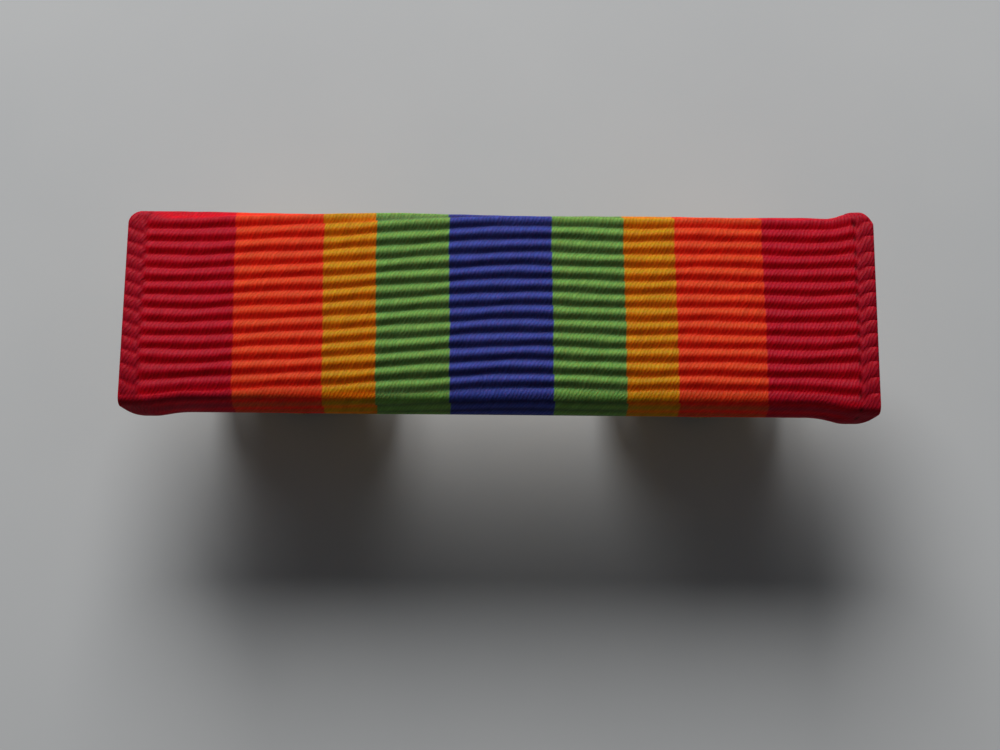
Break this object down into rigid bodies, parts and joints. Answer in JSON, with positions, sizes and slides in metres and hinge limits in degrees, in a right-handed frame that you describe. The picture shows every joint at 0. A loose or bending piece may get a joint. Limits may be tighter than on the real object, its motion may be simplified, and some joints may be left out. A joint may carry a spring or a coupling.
{
  "type": "service ribbon bar",
  "caption": "Ribbed, striped ribbon wrapped round a brass slide, on a flat mounting bar with pins held by butterfly clutches.",
  "frame": {"origin": "under the middle of the bar, on the plane that the two clutches stand on", "axes": "+X along the bar, +Y towards its upper edge, +Z out of the ribbon's face"},
  "size_m": [0.035, 0.0096, 0.0088],
  "materials": {
    "ribbon": "ribbed satin, in nine stripes: red, orange, yellow, green, blue, green, yellow, orange, red",
    "slide_brass": "pressed, satin",
    "bar_brass": "pressed, satin",
    "pin_nickel": "nickel plated, satin",
    "clutch_brass": "bright, lightly worn",
    "wing_brass": "spring brass, satin"
  },
  "bodies": {
    "mounting_bar": {"mounting_bar": "bar_brass", "clutch_post_left": "pin_nickel", "clutch_post_right": "pin_nickel"},
    "ribbon_unit": {"ribbon": "ribbon", "ribbon_slide": "slide_brass"},
    "clutch_left": {"clutch_base_left": "clutch_brass", "clutch_housing_left": "clutch_brass"},
    "clutch_right": {"clutch_base_right": "clutch_brass", "clutch_housing_right": "clutch_brass"},
    "wing_left_outer": {"clutch_wing_left_outer": "wing_brass"},
    "wing_left_inner": {"clutch_wing_left_inner": "wing_brass"},
    "wing_right_outer": {"clutch_wing_right_outer": "wing_brass"},
    "wing_right_inner": {"clutch_wing_right_inner": "wing_brass"}
  },
  "joints": [
    {"name": "ribbon_unit_slide", "type": "slide", "parent": "mounting_bar", "child": "ribbon_unit", "axis": [1, 0, 0], "range_m": [-0.0345, 0.0345]},
    {"name": "clutch_left_pull", "type": "slide", "parent": "mounting_bar", "child": "clutch_left", "axis": [0, 0, -1], "range_m": [0, 0.0052]},
    {"name": "clutch_right_pull", "type": "slide", "parent": "mounting_bar", "child": "clutch_right", "axis": [0, 0, -1], "range_m": [0, 0.0052]},
    {"name": "wing_left_outer_squeeze", "type": "hinge", "parent": "clutch_left", "child": "wing_left_outer", "pos_m": [-0.0124, 0, 0.003], "axis": [0, -1, 0], "range_deg": [0, 14], "stiffness_Nm_per_rad": 0.0004},
    {"name": "wing_left_inner_squeeze", "type": "hinge", "parent": "clutch_left", "child": "wing_left_inner", "pos_m": [-0.0066, 0, 0.003], "axis": [0, 1, 0], "range_deg": [0, 14], "stiffness_Nm_per_rad": 0.0004},
    {"name": "wing_right_outer_squeeze", "type": "hinge", "parent": "clutch_right", "child": "wing_right_outer", "pos_m": [0.0124, 0, 0.003], "axis": [0, 1, 0], "range_deg": [0, 14], "stiffness_Nm_per_rad": 0.0004},
    {"name": "wing_right_inner_squeeze", "type": "hinge", "parent": "clutch_right", "child": "wing_right_inner", "pos_m": [0.0066, 0, 0.003], "axis": [0, -1, 0], "range_deg": [0, 14], "stiffness_Nm_per_rad": 0.0004}
  ],
  "couplings": [
    {"joint": "wing_left_inner_squeeze", "follows": "wing_left_outer_squeeze", "ratio": 1},
    {"joint": "wing_right_inner_squeeze", "follows": "wing_right_outer_squeeze", "ratio": 1}
  ]
}
